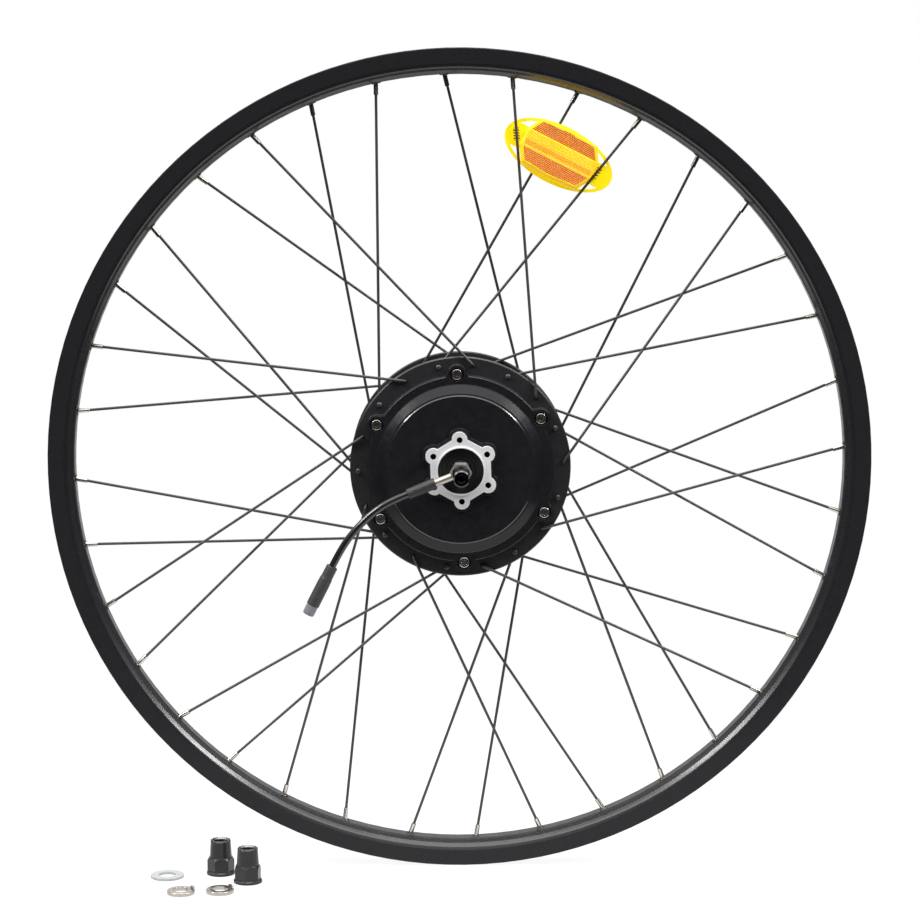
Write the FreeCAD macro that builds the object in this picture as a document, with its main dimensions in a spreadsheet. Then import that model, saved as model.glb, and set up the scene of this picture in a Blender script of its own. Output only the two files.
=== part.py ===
"""Hub motor wheel: a geared electric hub laced into a double wall rim with 36 spokes.

Frame: the axle lies along Y, the brake disc and cable side faces -Y, +Z is up, and the origin is the
middle of the axle's span between the dropouts, in the rim's middle plane. Lengths are millimetres.
"""
import FreeCAD
import Part
import Sketcher
import math
import os
import re

from FreeCAD import Placement, Rotation, Vector

AXLE = Vector(0, 1, 0)

SIZES = {
    # rim
    "rim_edge_radius": 298, "rim_half_width": 12.5, "rim_bed_radius": 279.5, "rim_well_radius": 286.5,
    "rim_seat_radius": 292, "rim_wall": 1.6, "rim_lip": 1.5, "valve_hole_radius": 4.15,
    "valve_hole_angle": 97.36,
    # lacing
    "spoke_count": 36, "spoke_radius": 1.0, "first_nipple_angle": 92.36, "lacing_angle": 40,
    "elbow_radius": 2.6, "spoke_head_radius": 1.9, "nipple_radius": 1.7, "nipple_tail": 8.4,
    "nipple_head_radius": 3.0, "eyelet_radius": 3.6, "nipple_hole_radius": 2.7,
    # hub shell
    "flange_radius": 79.2, "flange_hole_circle": 73.2, "flange_thickness": 3.2, "flange_hole_radius": 1.3,
    "near_flange": 27, "far_flange": 20, "shell_radius": 66, "shell_bore": 59, "shell_back": 29.5,
    "cover_seat": 36.6, "boss_radius": 17.4, "boss_length": 12, "drive_bearing_radius": 14,
    # cover and disc mount
    "cover_radius": 66.5, "cover_face": 41.5, "gasket_thickness": 0.4, "cover_screw_circle": 67.6,
    "cover_lobe_radius": 6.6, "cover_screw_count": 6, "cover_screw_angle": 2.2, "cover_plateau": 46,
    "shoulder_foot_radius": 60.7, "shoulder_top_radius": 55, "cover_wall": 4, "disc_face": 52.2,
    "disc_circle_radius": 22, "disc_lobe_radius": 5.6, "disc_waist_radius": 21.5, "disc_hole_radius": 2.1,
    "disc_hole_depth": 9, "disc_hole_count": 6, "disc_angle": 2.2, "recess_radius": 16.3,
    "recess_floor": 46.8, "cover_screw_radius": 2, "cover_screw_head_radius": 4,
    "cover_screw_pocket": 3.2, "register_height": 1.5, "cover_bearing_radius": 16,
    # axle
    "dropout_half_span": 67.5, "axle_end": 97, "axle_radius": 6, "axle_seat_radius": 7.5, "axle_flat": 5,
    "stator_seat_radius": 8.5, "spacer_radius": 8, "collar_flats": 13.4, "collar_depth": 57,
    "cover_bearing_front": 44.8, "cover_bearing_back": 35.8, "drive_bearing_front": 29,
    "drive_bearing_back": 37, "rotor_bearing_back": 5, "rotor_bearing_radius": 12, "clutch_back": 25.3,
    "drive_washer_front": 58, "drive_nut_front": 60, "drive_nut_flats": 17, "socket_flats": 5,
    "socket_depth": 6, "sleeve_depth": 62.5, "sleeve_radius": 2.75, "sleeve_angle": 202,
    "sleeve_tip": 19.5, "boot_tip": 40.5, "boot_radius": 4, "cable_radius": 2.6, "axle_bore_radius": 2.6,
    # gears
    "gear_module": 1.25, "sun_teeth": 18, "planet_teeth": 33, "ring_teeth": 84, "gear_width": 8,
    "gear_start": 9.6, "gear_backlash": 0.1, "planet_count": 3, "planet_pin_radius": 4, "planet_bore": 6,
    # motor
    "core_bore": 22, "core_radius": 46, "core_half_stack": 12, "core_middle": -14, "slot_count": 18,
    "air_gap": 0.6, "magnet_thickness": 3, "can_thickness": 3.4, "magnet_count": 20,
    # reflector
    "reflector_x": 70.6, "reflector_z": 222, "reflector_turn": -27, "reflector_lean": 8.2,
    "reflector_length": 84, "reflector_height": 42, "lens_half_length": 28.5, "lens_half_height": 19,
    "reflector_middle": 4.6, "plate_thickness": 1.3, "plate_back": 2.6, "lens_back": 1.3, "lens_depth": 8,
    # loose hardware
    "nut_flats": 17, "nut_flange_radius": 10.3, "nut_bore_radius": 5.2, "nut_hexagon_height": 12.6,
    "nut_height": 25.3, "washer_radius": 12, "washer_bore_radius": 6.2, "tab_washer_radius": 9.9,
}

doc = FreeCAD.newDocument("HubMotorWheel")
sheet = doc.addObject("Spreadsheet::Sheet", "Sizes")
for row, (alias, number) in enumerate(SIZES.items(), start=1):
    sheet.set(f"A{row}", alias)
    sheet.set(f"B{row}", str(number))
    sheet.setAlias(f"B{row}", alias)
doc.recompute()

ALIAS = re.compile(r"\b(" + "|".join(sorted(SIZES, key=len, reverse=True)) + r")\b")
PARTS = {}


def bound(expression):
    """An expression on the sheet's aliases, as other objects of the document write it."""
    return ALIAS.sub(r"Sizes.\1", str(expression))


def size(expression):
    """The number that an expression on the sheet's aliases has now."""
    return float(sheet.evalExpression(bound(expression)))


def on_circle(radius, degrees, y=0.0):
    """A point at that radius and angle round the axle, at height y along it."""
    turn = math.radians(degrees)
    return Vector(radius * math.cos(turn), y, radius * math.sin(turn))


def about_axle(shape, degrees):
    """A copy of the shape turned round the axle, from +X towards +Z."""
    turned = shape.copy()
    turned.rotate(Vector(0, 0, 0), AXLE, -degrees)
    return turned


# ---------------------------------------------------------------- ways to make a sub-part


def new_body(label):
    """A PartDesign body that becomes one sub-part."""
    body = doc.addObject("PartDesign::Body", label)
    body.Label = label
    PARTS[label] = body
    return body


def new_sketch(body, role, name, offset=None):
    """An empty sketch on one of the body's own origin planes. An offset is along the plane's normal."""
    sketch = body.newObject("Sketcher::SketchObject", f"{body.Name}_{name}")
    plane = next(f for f in body.Origin.OriginFeatures if f.Role == role)
    sketch.AttachmentSupport = (plane, [""])
    sketch.MapMode = "FlatFace"
    if offset is not None:
        sketch.setExpression("AttachmentOffset.Base.z", bound(offset))
    return sketch


def add_polygon(sketch, corners):
    """A closed outline whose corners are pairs of expressions, each bound to the sheet."""
    numbers = [(size(a), size(b)) for a, b in corners]
    count = len(numbers)
    first = sketch.GeometryCount
    for i, (a, b) in enumerate(numbers):
        c, d = numbers[(i + 1) % count]
        sketch.addGeometry(Part.LineSegment(Vector(a, b, 0), Vector(c, d, 0)), False)
    for i in range(count):
        sketch.addConstraint(Sketcher.Constraint("Coincident", first + i, 2, first + (i + 1) % count, 1))
    for i, (a, b) in enumerate(corners):
        for kind, expression in (("DistanceX", a), ("DistanceY", b)):
            number = sketch.addConstraint(Sketcher.Constraint(kind, -1, 1, first + i, 1, size(expression)))
            sketch.setExpression(f"Constraints[{number}]", bound(expression))


def add_circle(sketch, across, up, radius):
    """A circle whose centre and radius are expressions, each bound to the sheet."""
    centre = Vector(size(across), size(up), 0)
    circle = sketch.addGeometry(Part.Circle(centre, Vector(0, 0, 1), size(radius)), False)
    number = sketch.addConstraint(Sketcher.Constraint("Radius", circle, size(radius)))
    sketch.setExpression(f"Constraints[{number}]", bound(radius))
    for kind, expression in (("DistanceX", across), ("DistanceY", up)):
        number = sketch.addConstraint(Sketcher.Constraint(kind, -1, 1, circle, 3, size(expression)))
        sketch.setExpression(f"Constraints[{number}]", bound(expression))


def turned(label, *outlines):
    """A body turned round the axle. Each outline is a list of (radius, y) expressions."""
    body = new_body(label)
    sketch = new_sketch(body, "XY_Plane", "Section")
    for outline in outlines:
        add_polygon(sketch, outline)
    feature = body.newObject("PartDesign::Revolution", f"{label}_Turn")
    feature.Profile = sketch
    feature.ReferenceAxis = (sketch, ["V_Axis"])
    feature.Angle = 360
    doc.recompute()
    return body


def ring(label, inner, outer, low, high):
    """A plain ring between two radii and two heights along Y."""
    return turned(label, [(inner, low), (outer, low), (outer, high), (inner, high)])


def cut(body, name, sketch, length):
    """A pocket from the sketch to a depth, against the sketch's normal."""
    before = body.Shape.Volume
    pocket = body.newObject("PartDesign::Pocket", f"{body.Name}_{name}")
    pocket.Profile = sketch
    pocket.setExpression("Length", bound(length))
    doc.recompute()
    if not body.Shape.Volume < before - 1e-6:
        raise RuntimeError(f"{body.Name}: {name} cut nothing")


def pad(body, name, sketch, length):
    """Adds the sketch's outline as a solid of that length along the sketch's normal."""
    feature = body.newObject("PartDesign::Pad", f"{body.Name}_{name}")
    feature.Profile = sketch
    feature.setExpression("Length", bound(length))
    doc.recompute()


def made(label, shape, place=None):
    """A sub-part whose shape comes from Part's own functions."""
    feature = doc.addObject("Part::Feature", label)
    feature.Label = label
    feature.Shape = shape
    if place is not None:
        feature.Placement = place.multiply(shape.Placement)
    PARTS[label] = feature
    return feature


def group(shapes):
    """Separate solids kept together as one sub-part."""
    return shapes[0] if len(shapes) == 1 else Part.makeCompound(shapes)


def rod(start, end, radius):
    """A round bar between two points."""
    return Part.makeCylinder(radius, (end - start).Length, start, end - start)


def tube(inner, outer, low, high):
    """A ring about the axle between two heights along Y."""
    length = high - low
    body = Part.makeCylinder(outer, length, Vector(0, low, 0), AXLE)
    return body.cut(Part.makeCylinder(inner, length, Vector(0, low, 0), AXLE))


def prism(points, low, high):
    """A plate whose outline is points in X and Z, between two heights along Y."""
    wire = Part.makePolygon([Vector(x, low, z) for x, z in points + points[:1]])
    return Part.Face(wire).extrude(Vector(0, high - low, 0))


def hexagon(across_flats, low, high, turn=0.0):
    """A six sided bar along the axle."""
    corner = across_flats / math.sqrt(3)
    points = [on_circle(corner, turn + 60 * i) for i in range(6)]
    return prism([(p.x, p.z) for p in points], low, high)


def drill(body, name, radius, start, end, repeat):
    """A round hole from one point to another, repeated round the axle."""
    before = body.Shape.Volume
    hole = body.newObject("PartDesign::SubtractiveCylinder", f"{body.Name}_{name}")
    hole.setExpression("Radius", bound(radius))
    hole.Height = (end - start).Length
    hole.Placement = Placement(start, Rotation(Vector(0, 0, 1), end - start))
    doc.recompute()
    if repeat > 1:
        pattern = body.newObject("PartDesign::PolarPattern", f"{body.Name}_{name}_All")
        pattern.Originals = [hole]
        axis = next(f for f in body.Origin.OriginFeatures if f.Role == "Y_Axis")
        pattern.Axis = (axis, [""])
        pattern.Angle = 360
        pattern.Occurrences = repeat
        body.Tip = pattern
        doc.recompute()
    if not body.Shape.Volume < before - 1e-6:
        raise RuntimeError(f"{body.Name}: {name} cut nothing")


# ---------------------------------------------------------------- rim and lacing


def make_rim():
    """A double wall rim: a box section under a tyre well with bead seats and edges."""
    outer = [("rim_bed_radius", "rim_half_width*0.4"), ("rim_bed_radius+0.7", "rim_half_width*0.56"),
             ("rim_bed_radius+2.5", "rim_half_width*0.76"), ("rim_bed_radius+4", "rim_half_width*0.89"),
             ("rim_bed_radius+5", "rim_half_width*0.955"), ("rim_bed_radius+6", "rim_half_width*0.988"),
             ("rim_bed_radius+7.2", "rim_half_width"), ("rim_edge_radius-0.6", "rim_half_width"),
             ("rim_edge_radius", "rim_half_width-0.6"), ("rim_edge_radius", "rim_half_width-rim_lip"),
             ("rim_seat_radius+1.2", "rim_half_width-rim_lip"), ("rim_seat_radius", "rim_half_width-2.5"),
             ("rim_seat_radius-0.6", "rim_half_width-6"), ("rim_well_radius", "rim_half_width-8")]
    inner = [("rim_bed_radius+rim_wall", "rim_half_width*0.4"),
             ("rim_bed_radius+4.6", "rim_half_width*0.72"),
             ("rim_bed_radius+8.5", "rim_half_width-rim_wall"),
             ("rim_seat_radius-2.2", "rim_half_width-rim_wall"),
             ("rim_seat_radius-2.2", "rim_half_width-5.6"),
             ("rim_well_radius-rim_wall", "rim_half_width-7.6")]
    sections = [half + [(a, f"-({b})") for a, b in reversed(half)] for half in (outer, inner)]
    rim = turned("rim", *sections)
    first = size("first_nipple_angle")
    count = SIZES["spoke_count"]
    bed, well, seat = size("rim_bed_radius"), size("rim_well_radius"), size("rim_seat_radius")
    drill(rim, "NippleHoles", "nipple_hole_radius",
          on_circle(bed - 1, first), on_circle(bed + 3, first), count)
    drill(rim, "AccessHoles", "nipple_hole_radius+1.3",
          on_circle(well - 3, first), on_circle(seat, first), count)
    valve = size("valve_hole_angle")
    drill(rim, "ValveHole", "valve_hole_radius", on_circle(bed - 1, valve), on_circle(seat, valve), 1)


def spoke_line(index):
    """The head, elbow corner and nipple points of one spoke.

    Of each four spokes in turn round the rim, two go to each flange, one pulling each way. A spoke whose
    elbow lies outside its flange has its head inside, and the other way about. An outside elbow stands
    further off its flange, because its run leans in over the flange's edge.
    """
    kind = index % 4
    near = kind in (1, 3)
    outside = kind in (0, 1)
    step = 360 / SIZES["spoke_count"]
    angle = size("first_nipple_angle") - step * index
    hole_angle = angle + (-1 if outside else 1) * size("lacing_angle")
    side = -1 if near else 1
    flange = side * size("near_flange" if near else "far_flange")
    face = size("flange_thickness") / 2
    outward = side if outside else -side
    clearance = 0.05 + 0.055 * abs(flange) if outside else 0.15
    reach = face + size("spoke_radius") + clearance
    hole = size("flange_hole_circle")
    head = on_circle(hole, hole_angle, flange - outward * face)
    corner = on_circle(hole, hole_angle, flange + outward * reach)
    tip = on_circle(size("rim_bed_radius") + 1.8, angle)
    return head, corner, tip


def nipple_direction(index):
    """The unit vector along one spoke, from the flange to the rim."""
    corner, tip = spoke_line(index)[1:]
    return (tip - corner).normalize()


def make_spoke(index):
    """A J-bend spoke: a domed head, a stub through the flange, an elbow and a straight run."""
    head, corner, tip = spoke_line(index)
    radius, bend = size("spoke_radius"), size("elbow_radius")
    into = (corner - head).normalize()
    away = (tip - corner).normalize()
    turn = into.getAngle(away)
    back = bend * math.tan(turn / 2)
    start_arc, end_arc = corner - into * back, corner + away * back
    middle = (away - into).normalize() * (bend / math.cos(turn / 2) - bend) + corner
    run_end = tip - away * 2.5
    stub_start = head - into * 1.0
    path = Part.Wire([Part.LineSegment(stub_start, start_arc).toShape(),
                      Part.Arc(start_arc, middle, end_arc).toShape(),
                      Part.LineSegment(end_arc, run_end).toShape()])
    section = Part.Wire(Part.makeCircle(radius, stub_start, into))
    wire = path.makePipeShell([section], True, False)
    knob = Part.makeCylinder(size("spoke_head_radius"), 1.0, head - into * 1.0, into)
    dome = Part.makeCone(size("spoke_head_radius") * 0.6, size("spoke_head_radius"), 0.7,
                         head - into * 1.7, into)
    return wire.fuse([knob, dome]).removeSplitter()


def make_nipple(index):
    """A nipple: a square shouldered tail below the rim and a head inside it."""
    tip = spoke_line(index)[2]
    along = nipple_direction(index)
    radius, length = size("nipple_radius"), size("nipple_tail")
    tail = Part.makeCylinder(radius, length + 3.4, tip - along * (length + 1.9), along)
    tail = tail.makeChamfer(0.35, [e for e in tail.Edges if e.Closed][:1])
    head = Part.makeCone(radius, size("nipple_head_radius"), 1.4, tip + along * 0.7, along)
    crown = Part.makeCylinder(size("nipple_head_radius"), 1.3, tip + along * 2.1, along)
    bore = Part.makeCylinder(size("spoke_radius"), length, tip - along * (length + 5), along)
    thread = rod(tip - along * (length + 2), tip - along * 2.5, size("spoke_radius"))
    return tail.fuse([head, crown]).removeSplitter().cut(bore).cut(thread)


def make_eyelet(index):
    """A pressed ring set into one spoke hole of the rim."""
    angle = size("first_nipple_angle") - 360 / SIZES["spoke_count"] * index
    bed = size("rim_bed_radius")
    base, along = on_circle(bed, angle), on_circle(1, angle)
    sunk = 0.04
    collar = Part.makeCone(size("eyelet_radius") - 0.5, size("eyelet_radius"), 0.5,
                           base - along * (0.5 + sunk), along)
    sleeve = Part.makeCylinder(size("nipple_hole_radius"), size("rim_wall") + 0.2, base - along * 0.1, along)
    hole = Part.makeCylinder(size("nipple_hole_radius") - 0.35, 6, base - along * 3, along)
    return collar.fuse(sleeve).removeSplitter().cut(hole)


def make_lacing():
    """All spokes in four sets, with their nipples and eyelets."""
    everyone = range(SIZES["spoke_count"])
    names = ("spokes_far_outside", "spokes_near_outside", "spokes_far_inside", "spokes_near_inside")
    for kind, name in enumerate(names):
        made(name, group([make_spoke(i) for i in everyone if i % 4 == kind]))
    made("spoke_nipples", group([make_nipple(i) for i in everyone]))
    made("rim_eyelets", group([make_eyelet(i) for i in everyone]))


# ---------------------------------------------------------------- hub shell and cover


def screw_places():
    """The angles of the cover screws."""
    count = SIZES["cover_screw_count"]
    return [size("cover_screw_angle") + 30 + 360 / count * i for i in range(count)]


def polar(radius, degrees):
    """A point in a sketch square to the axle, as two expressions."""
    return f"({radius})*cos({degrees:.6f} deg)", f"({radius})*sin({degrees:.6f} deg)"


def add_lobes(body, name, depth, height):
    """Six rounded lugs round the edge, each on a wider foot, for the cover screws."""
    lobes = new_sketch(body, "XZ_Plane", f"{name}Lobes", depth)
    feet = new_sketch(body, "XZ_Plane", f"{name}Feet", depth)
    for angle in screw_places():
        add_circle(lobes, *polar("cover_screw_circle", angle), "cover_lobe_radius")
        corners = [("cover_screw_circle-4", -9.5), ("cover_screw_circle+4.4", -4.5),
                   ("cover_screw_circle+4.4", 4.5), ("cover_screw_circle-4", 9.5)]
        points = []
        for radius, across in corners:
            a, b = polar(radius, angle)
            c, d = polar(across, angle + 90)
            points.append((f"{a}+{c}", f"{b}+{d}"))
        add_polygon(feet, points)
    pad(body, f"{name}LobePad", lobes, height)
    pad(body, f"{name}FootPad", feet, height)


def hole_ring(body, name, circle, radius, angles, depth, length):
    """Round holes on a circle, cut from a depth on the disc side towards +Y."""
    sketch = new_sketch(body, "XZ_Plane", f"{name}Circles", depth)
    for angle in angles:
        add_circle(sketch, *polar(circle, angle), radius)
    cut(body, name, sketch, length)


def spread(first, count):
    """Equal angles round the axle."""
    return [first + 360 / count * i for i in range(count)]


def make_shell():
    """The hub shell: two spoke flanges on a drum, closed on the drive side by a boss for a freewheel."""
    half = "flange_thickness/2"
    near, far = f"-near_flange-{half}", f"far_flange+{half}"
    boss = "shell_back+boss_length"
    shell = turned("hub_shell", [
        ("shell_bore", "-cover_seat"), ("cover_radius", "-cover_seat"), ("cover_radius", near),
        ("flange_radius-0.8", near), ("flange_radius", f"{near}+0.8"),
        ("flange_radius", f"-near_flange+{half}-0.8"), ("flange_radius-0.8", f"-near_flange+{half}"),
        ("shell_radius+2.5", f"-near_flange+{half}"), ("shell_radius", f"-near_flange+{half}+2.5"),
        ("shell_radius", f"far_flange-{half}-2.5"), ("shell_radius+2.5", f"far_flange-{half}"),
        ("flange_radius-0.8", f"far_flange-{half}"), ("flange_radius", f"far_flange-{half}+0.8"),
        ("flange_radius", f"{far}-0.8"), ("flange_radius-0.8", far), ("shell_radius-1", far),
        ("shell_radius-5", f"{far}+3.5"), ("shell_radius-30", "shell_back+1.2"),
        ("boss_radius+6", "shell_back+1.2"), ("boss_radius+4", "shell_back+2.2"),
        ("boss_radius", "shell_back+2.2"), ("boss_radius", f"{boss}-0.8"), ("boss_radius-0.8", boss),
        ("drive_bearing_radius-3", boss), ("drive_bearing_radius-3", "shell_back+7.5"),
        ("drive_bearing_radius", "shell_back+7.5"), ("drive_bearing_radius", "shell_back-3.5"),
        ("shell_bore", "shell_back-3.5")])
    add_lobes(shell, "Seat", "near_flange+flange_thickness/2-0.5", f"cover_seat-near_flange-{half}+0.5")
    per_flange = SIZES["spoke_count"] // 2
    far_first = size("first_nipple_angle-lacing_angle")
    near_first = far_first - size("360/spoke_count")
    for name, first, depth in (("NearHoles", near_first, f"near_flange+{half}"),
                               ("FarHoles", far_first, f"-far_flange+{half}")):
        hole_ring(shell, name, "flange_hole_circle", "flange_hole_radius", spread(first, per_flange),
                  depth, "flange_thickness")
    hole_ring(shell, "ScrewHoles", "cover_screw_circle", "cover_screw_radius", screw_places(),
              "cover_seat", "10")


def star(body, name, depth, height, grow):
    """The disc mount's outline: a hexagon round the recess with a lug at each corner."""
    angles = spread(size("disc_angle") + 30, SIZES["disc_hole_count"])
    waist = new_sketch(body, "XZ_Plane", f"{name}Waist", depth)
    corner = f"(disc_waist_radius+{grow})/cos(30 deg)"
    add_polygon(waist, [polar(corner, angle) for angle in angles])
    add_circle(waist, "0", "0", "recess_radius")
    lugs = new_sketch(body, "XZ_Plane", f"{name}Lugs", depth)
    for angle in angles:
        add_circle(lugs, *polar("disc_circle_radius", angle), f"disc_lobe_radius+{grow}")
    pad(body, f"{name}WaistPad", waist, height)
    pad(body, f"{name}LugPad", lugs, height)


def make_cover():
    """The disc side cover: a lip screwed to the shell, a raised plateau and the brake disc mount."""
    face, plateau = "-cover_face", "-cover_plateau"
    seat = "-(cover_seat+gasket_thickness)"
    register = "-(disc_face+register_height)"
    inside, stop = "-(cover_bearing_back-0.4)", "-(cover_bearing_front+0.1)"
    cover = turned("side_cover", [
        ("recess_radius", register), ("boss_radius-0.3", register), ("boss_radius", f"{register}+0.3"),
        ("boss_radius", plateau), ("shoulder_top_radius-2.6", plateau),
        ("shoulder_top_radius-1.8", f"{plateau}+0.55"), ("shoulder_top_radius-0.6", f"{plateau}+0.8"),
        ("shoulder_foot_radius-0.7", f"{face}-0.25"), ("shoulder_foot_radius", face),
        ("cover_radius-0.4", face), ("cover_radius", f"{face}+0.4"), ("cover_radius", seat),
        ("shell_bore-0.1", seat), ("shell_bore-0.1", f"{seat}+4"), ("shell_bore-3.5", f"{seat}+4"),
        ("shell_bore-3.5", f"{seat}-1.5"), ("shoulder_top_radius-4", f"{plateau}+cover_wall"),
        ("cover_bearing_radius+4", f"{plateau}+cover_wall"), ("cover_bearing_radius+4", inside),
        ("cover_bearing_radius", inside), ("cover_bearing_radius", stop),
        ("cover_bearing_radius-2", stop), ("cover_bearing_radius-2", "-recess_floor"),
        ("recess_radius", "-recess_floor")])
    add_lobes(cover, "Lip", "cover_seat+gasket_thickness", "cover_face-cover_seat-gasket_thickness")
    star(cover, "Base", "cover_plateau-1", "2.9", "2.3")
    star(cover, "Mount", "cover_plateau-1", "disc_face-cover_plateau+1", "0")
    recess = new_sketch(cover, "XZ_Plane", "Recess", "disc_face+register_height")
    add_circle(recess, "0", "0", "recess_radius")
    cut(cover, "RecessCut", recess, "disc_face+register_height-recess_floor")
    hole_ring(cover, "DiscHoles", "disc_circle_radius", "disc_hole_radius",
              spread(size("disc_angle") + 30, SIZES["disc_hole_count"]), "disc_face", "disc_hole_depth")
    hole_ring(cover, "HeadPockets", "cover_screw_circle", "cover_screw_head_radius+0.8", screw_places(),
              "cover_face", "cover_screw_pocket")
    hole_ring(cover, "ScrewHoles", "cover_screw_circle", "cover_screw_radius+0.2", screw_places(),
              "cover_face", "8")


def make_gasket():
    """A thin sealing ring with the cover's own outline."""
    seat = "-(cover_seat+gasket_thickness)"
    gasket = turned("cover_gasket", [("shell_bore", seat), ("cover_radius", seat),
                                     ("cover_radius", "-cover_seat"), ("shell_bore", "-cover_seat")])
    add_lobes(gasket, "Edge", "cover_seat", "gasket_thickness")
    hole_ring(gasket, "ScrewHoles", "cover_screw_circle", "cover_screw_radius+0.2", screw_places(),
              "cover_seat+gasket_thickness", "gasket_thickness")


def make_cover_screws():
    """Button head screws with six lobed sockets."""
    screws = []
    floor = -size("cover_face-cover_screw_pocket")
    radius, height, socket_radius = size("cover_screw_head_radius"), 2.9, 1.5
    for angle in screw_places():
        seat = on_circle(size("cover_screw_circle"), angle, floor)
        out = Vector(0, -1, 0)
        head = Part.makeCylinder(radius, height, seat, out)
        head = head.makeFillet(0.9, [e for e in head.Edges if e.Closed and e.CenterOfMass.y < floor - 2.8])
        shank = Part.makeCylinder(size("cover_screw_radius"), 11, seat, -out)
        bottom = seat + out * (height / 2 - 0.05)
        socket = Part.makeCylinder(socket_radius, height, bottom, out)
        for turn in spread(angle, 6):
            lobe = bottom + on_circle(socket_radius - 0.05, turn)
            socket = socket.fuse(Part.makeCylinder(socket_radius / 3, height, lobe, out))
        screws.append(head.fuse(shank).removeSplitter().cut(socket))
    made("cover_screws", group(screws))


# ---------------------------------------------------------------- axle and what is fixed to it


def make_axle():
    """The fixed axle: threaded ends with flats, bearing seats, a stator seat and a bore for the leads."""
    end = "axle_end"
    axle = turned("axle", [
        ("0", f"-{end}"), ("axle_radius-1", f"-{end}"), ("axle_radius", f"-{end}+1"),
        ("axle_radius", "-cover_bearing_front"), ("axle_seat_radius", "-cover_bearing_front"),
        ("axle_seat_radius", "-34"),
        ("stator_seat_radius", "-34"), ("stator_seat_radius", "-5"), ("axle_seat_radius", "-5"),
        ("axle_seat_radius", "7"), ("axle_radius", "7"), ("axle_radius", f"{end}-1"),
        ("axle_radius-1", end), ("0", end)])
    for name, depth in (("DiscFlats", "axle_end"), ("DriveFlats", "-dropout_half_span")):
        flats = new_sketch(axle, "XZ_Plane", name, depth)
        for side in (-1, 1):
            near, far = f"{side}*axle_flat", f"{side}*(axle_radius+2)"
            add_polygon(flats, [(near, -8), (far, -8), (far, 8), (near, 8)])
        cut(axle, f"{name}Cut", flats, "axle_end-dropout_half_span")
    socket = new_sketch(axle, "XZ_Plane", "Socket", "axle_end")
    add_polygon(socket, [polar("socket_flats/cos(30 deg)/2", 30 + 60 * i) for i in range(6)])
    cut(axle, "SocketCut", socket, "socket_depth")
    lead = size("sleeve_angle")
    start, stop = -size("sleeve_depth") - 2.6, -28
    drill(axle, "LeadBore", "axle_bore_radius", Vector(0, start, 0), Vector(0, stop, 0), 1)
    exits = ((-size("sleeve_depth"), "CableExit", 7), (-30.5, "LeadEntry", 9))
    for y, name, reach in exits:
        drill(axle, name, "axle_bore_radius", Vector(0, y, 0), on_circle(reach, lead, y), 1)


def bearing(name, inner, outer, low, high, balls):
    """A deep groove ball bearing: makes its two rings as sub-parts and returns its balls.

    The two radii and the two heights along Y are expressions.
    """
    inner, outer, low, high = (size(text) for text in (inner, outer, low, high))
    middle, ball = (inner + outer) / 2, (outer - inner) * 0.26
    centre = (low + high) / 2
    groove = Part.makeTorus(middle, ball + 0.05, Vector(0, centre, 0), AXLE)
    land = ball * 0.45
    made(f"{name}_outer_ring", tube(middle + land, outer, low, high).cut(groove))
    made(f"{name}_inner_ring", tube(inner, middle - land, low, high).cut(groove))
    return [Part.makeSphere(ball, on_circle(middle, turn, centre)) for turn in spread(0, balls)]


def make_bearings():
    """The two bearings that carry the wheel and the one that carries the rotor."""
    balls = bearing("cover_bearing", "axle_seat_radius", "cover_bearing_radius",
                    "-cover_bearing_front", "-cover_bearing_back", 9)
    balls += bearing("drive_bearing", "axle_radius", "drive_bearing_radius",
                     "drive_bearing_front", "drive_bearing_back", 8)
    balls += bearing("rotor_bearing", "axle_seat_radius", "rotor_bearing_radius",
                     "0", "rotor_bearing_back", 11)
    made("bearing_balls", group(balls))


def make_axle_stack():
    """Spacers, seals and nuts on the axle, from the disc side to the drive side."""
    end, out = size("dropout_half_span"), size("spacer_radius")
    lip, shaft = f"{out + 0.08}", "axle_radius"
    ring("disc_side_spacer", shaft, "spacer_radius", "-collar_depth", "-cover_bearing_front")
    ring("clutch_spacer", shaft, "spacer_radius", "clutch_back+0.2", "drive_bearing_front")
    ring("drive_side_spacer", shaft, "spacer_radius", "drive_bearing_back", "drive_washer_front")
    ring("drive_side_washer", shaft, "11", "drive_washer_front", "drive_nut_front")
    turned("disc_side_seal", [
        (lip, "-50"), ("10", "-50"), ("10.6", "-49"), ("13", "-49"), ("13.4", "-49.8"),
        ("recess_radius", "-49.8"), ("recess_radius", "-recess_floor"), (lip, "-recess_floor")])
    ring("drive_side_seal", lip, "drive_bearing_radius-3", "shell_back+8", "shell_back+boss_length-0.5")
    depth, angle = size("sleeve_depth"), size("sleeve_angle")
    bore = Part.makeCylinder(size("axle_radius"), 20, Vector(0, -end - 1, 0), AXLE)
    collar = hexagon(size("collar_flats"), -end, -size("collar_depth"), 0).cut(bore)
    way = rod(Vector(0, -depth, 0), on_circle(12, angle, -depth), size("sleeve_radius"))
    made("hex_collar", collar.cut(way))
    front, bevel = size("drive_nut_front"), 1.2
    across, rounded = 9.9, 8.6
    nut = hexagon(size("drive_nut_flats"), front, end, 30)
    round_off = Part.makeCone(rounded, across, bevel, Vector(0, front, 0), AXLE).fuse([
        Part.makeCylinder(across, end - front - 2 * bevel, Vector(0, front + bevel, 0), AXLE),
        Part.makeCone(across, rounded, bevel, Vector(0, end - bevel, 0), AXLE)])
    bore = Part.makeCylinder(size("axle_radius"), 12, Vector(0, front - 2, 0), AXLE)
    made("drive_side_lock_nut", nut.common(round_off).cut(bore))


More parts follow.
